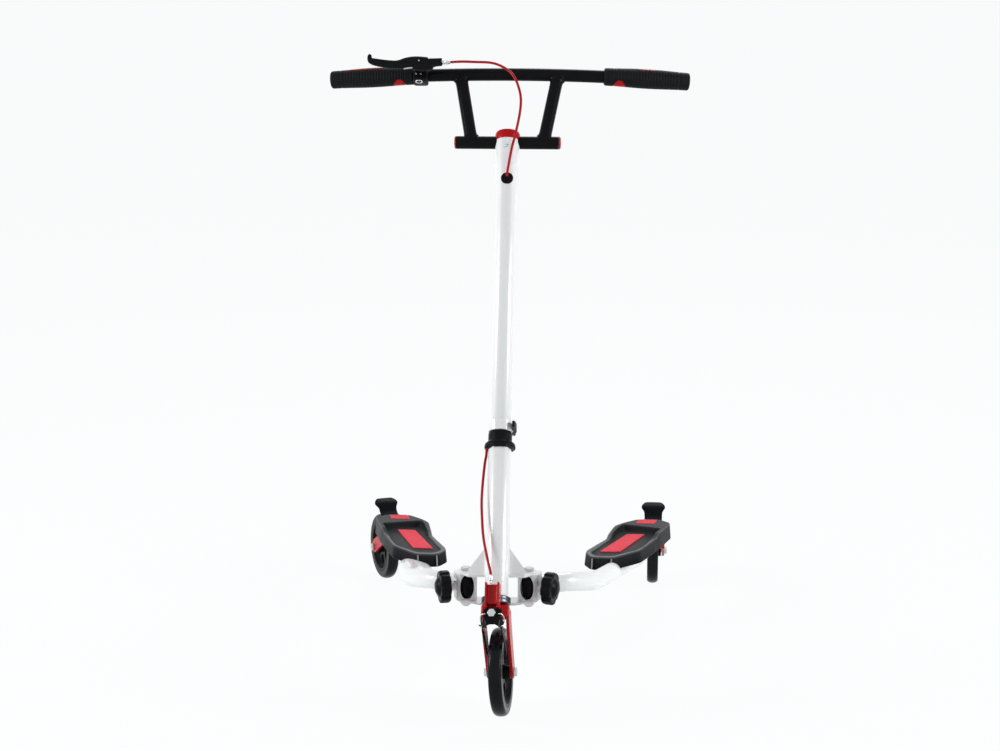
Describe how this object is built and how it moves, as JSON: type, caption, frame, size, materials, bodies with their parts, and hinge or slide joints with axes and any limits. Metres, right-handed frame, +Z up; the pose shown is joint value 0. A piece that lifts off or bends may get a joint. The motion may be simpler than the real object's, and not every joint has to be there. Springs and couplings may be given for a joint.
{
  "type": "stunt scooter",
  "caption": "Three-wheeled stand-on scooter: front fork with T-bar, and two swinging arms with footboards, trailing caster wheels and fender brakes.",
  "frame": {"origin": "on the ground, at the centre of the bounding box", "axes": "+Z up, -Y towards the front wheel, +X towards the rider's left"},
  "size_m": [0.6308, 0.9148, 1.0374],
  "materials": {
    "white": "gloss white lacquer",
    "silver": "satin",
    "gunmetal": "dark satin",
    "bearing_steel": "satin",
    "bolt_steel": "bright plated",
    "red_paint": "gloss red lacquer",
    "black_metal": "satin black",
    "black_plastic": "fine grain",
    "red_plastic": "gloss",
    "red_sleeve": "smooth sleeve",
    "black_rubber": "matte",
    "grip_rubber": "matte, lightly textured",
    "charcoal_plastic": "fine grain",
    "coral_rubber": "textured grip",
    "tyre": "smooth cast urethane"
  },
  "bodies": {
    "frame": {"main_frame": "white", "lower_headset_cup": "gunmetal", "upper_headset_bearing": "bearing_steel", "right_kingpin": "bolt_steel", "right_kingpin_nut": "bolt_steel", "right_rubber_bushing": "black_rubber", "left_kingpin": "bolt_steel", "left_kingpin_nut": "bolt_steel", "left_rubber_bushing": "black_rubber"},
    "steering": {"fork": "red_paint", "headset_collar": "black_plastic", "front_axle": "bolt_steel", "brake_hanger": "red_paint", "caliper_bridge": "black_metal", "caliper_bolt": "bolt_steel", "lower_cable": "red_sleeve", "cable_ferrule": "bolt_steel"},
    "front_wheel": {"front_wheel_core": "black_plastic", "front_tyre": "tyre"},
    "column": {"upper_column": "white", "column_cap": "red_plastic", "cable_grommet": "black_rubber", "handlebar": "silver", "right_crossbar_cap": "red_plastic", "left_crossbar_cap": "red_plastic", "right_grip": "grip_rubber", "left_grip": "grip_rubber", "lever_bracket": "black_metal", "barrel_adjuster": "bolt_steel", "upper_cable": "red_sleeve", "clamp_band": "silver", "clamp_skewer": "bolt_steel"},
    "clamp_lever": {"clamp_lever": "black_plastic"},
    "brake_lever": {"brake_lever": "black_metal"},
    "right_caliper": {"right_caliper_arm": "black_metal", "right_brake_pad": "black_rubber"},
    "left_caliper": {"left_caliper_arm": "black_metal", "left_brake_pad": "black_rubber"},
    "right_arm": {"right_arm": "white", "right_deck": "charcoal_plastic", "right_front_insert": "coral_rubber", "right_rear_insert": "coral_rubber"},
    "right_knob": {"right_tension_knob": "black_plastic"},
    "right_caster": {"right_caster_fork": "red_paint", "right_rear_axle": "bolt_steel"},
    "right_rear_wheel": {"right_rear_wheel_core": "black_plastic", "right_rear_tyre": "tyre"},
    "right_fender": {"right_fender_brake": "black_plastic"},
    "left_arm": {"left_arm": "white", "left_deck": "charcoal_plastic", "left_front_insert": "coral_rubber", "left_rear_insert": "coral_rubber"},
    "left_knob": {"left_tension_knob": "black_plastic"},
    "left_caster": {"left_caster_fork": "red_paint", "left_rear_axle": "bolt_steel"},
    "left_rear_wheel": {"left_rear_wheel_core": "black_plastic", "left_rear_tyre": "tyre"},
    "left_fender": {"left_fender_brake": "black_plastic"}
  },
  "joints": [
    {"name": "steering", "type": "hinge", "parent": "frame", "child": "steering", "pos_m": [0, -0.32451, 0.29952], "axis": [0, 0.5177, 0.8555], "range_deg": [-38.47, 51.53]},
    {"name": "column_height", "type": "slide", "parent": "steering", "child": "column", "axis": [0, 0.5177, 0.8555], "range_m": [0, 0.09]},
    {"name": "clamp_lever", "type": "hinge", "parent": "column", "child": "clamp_lever", "pos_m": [0.0185, -0.21767, 0.43357], "axis": [0, 0.5177, 0.8555], "range_deg": [0, 95]},
    {"name": "brake_lever", "type": "hinge", "parent": "column", "child": "brake_lever", "pos_m": [-0.1385, 0.07603, 1.02611], "axis": [0, -0.5177, -0.8555], "range_deg": [0, 14], "stiffness_Nm_per_rad": 1.2, "springref_deg": -11.46},
    {"name": "right_caliper", "type": "hinge", "parent": "steering", "child": "right_caliper", "pos_m": [0, -0.40502, 0.16648], "axis": [-0.1137, -0.85, 0.5144], "range_deg": [0, 1.68]},
    {"name": "left_caliper", "type": "hinge", "parent": "steering", "child": "left_caliper", "pos_m": [0, -0.40502, 0.16648], "axis": [0.1137, 0.85, -0.5144], "range_deg": [0, 1.68]},
    {"name": "front_wheel", "type": "hinge", "parent": "steering", "child": "front_wheel", "pos_m": [0.00751, -0.38546, 0.07215], "axis": [0.9935, -0.0973, 0.0589], "continuous": true},
    {"name": "right_arm_swing", "type": "hinge", "parent": "frame", "child": "right_arm", "pos_m": [-0.0513, -0.34242, 0.20425], "axis": [0, 0, 1], "range_deg": [-9.4, 20.6]},
    {"name": "right_knob_turn", "type": "hinge", "parent": "right_arm", "child": "right_knob", "pos_m": [-0.0513, -0.34242, 0.20433], "axis": [-0.9686, -0.2487, 0], "range_deg": [-180, 180]},
    {"name": "right_caster_swivel", "type": "hinge", "parent": "right_arm", "child": "right_caster", "pos_m": [-0.22489, 0.33366, 0.105], "axis": [0, 0, 1], "range_deg": [-48.6, 31.4]},
    {"name": "right_rear_wheel_spin", "type": "hinge", "parent": "right_caster", "child": "right_rear_wheel", "pos_m": [-0.25224, 0.39809, 0.06318], "axis": [0.9205, 0.3907, 0], "continuous": true},
    {"name": "right_fender_press", "type": "hinge", "parent": "right_caster", "child": "right_fender", "pos_m": [-0.23094, 0.34792, 0.10008], "axis": [-0.9205, -0.3907, 0], "range_deg": [0, 18], "stiffness_Nm_per_rad": 0.6, "springref_deg": -14.32},
    {"name": "left_arm_swing", "type": "hinge", "parent": "frame", "child": "left_arm", "pos_m": [0.0513, -0.34242, 0.20425], "axis": [0, 0, -1], "range_deg": [-13.03, 16.97]},
    {"name": "left_knob_turn", "type": "hinge", "parent": "left_arm", "child": "left_knob", "pos_m": [0.0513, -0.34242, 0.20433], "axis": [0.9509, -0.3095, 0], "range_deg": [-180, 180]},
    {"name": "left_caster_swivel", "type": "hinge", "parent": "left_arm", "child": "left_caster", "pos_m": [0.26734, 0.32131, 0.105], "axis": [0, 0, -1], "range_deg": [-23.1, 56.9]},
    {"name": "left_rear_wheel_spin", "type": "hinge", "parent": "left_caster", "child": "left_rear_wheel", "pos_m": [0.26872, 0.3913, 0.06318], "axis": [0.9998, -0.0197, 0], "continuous": true},
    {"name": "left_fender_press", "type": "hinge", "parent": "left_caster", "child": "left_fender", "pos_m": [0.26765, 0.33681, 0.10008], "axis": [-0.9998, 0.0197, 0], "range_deg": [0, 18], "stiffness_Nm_per_rad": 0.6, "springref_deg": -14.32}
  ],
  "couplings": [
    {"joint": "right_caliper", "follows": "brake_lever", "ratio": 0.12},
    {"joint": "left_caliper", "follows": "brake_lever", "ratio": 0.12}
  ]
}
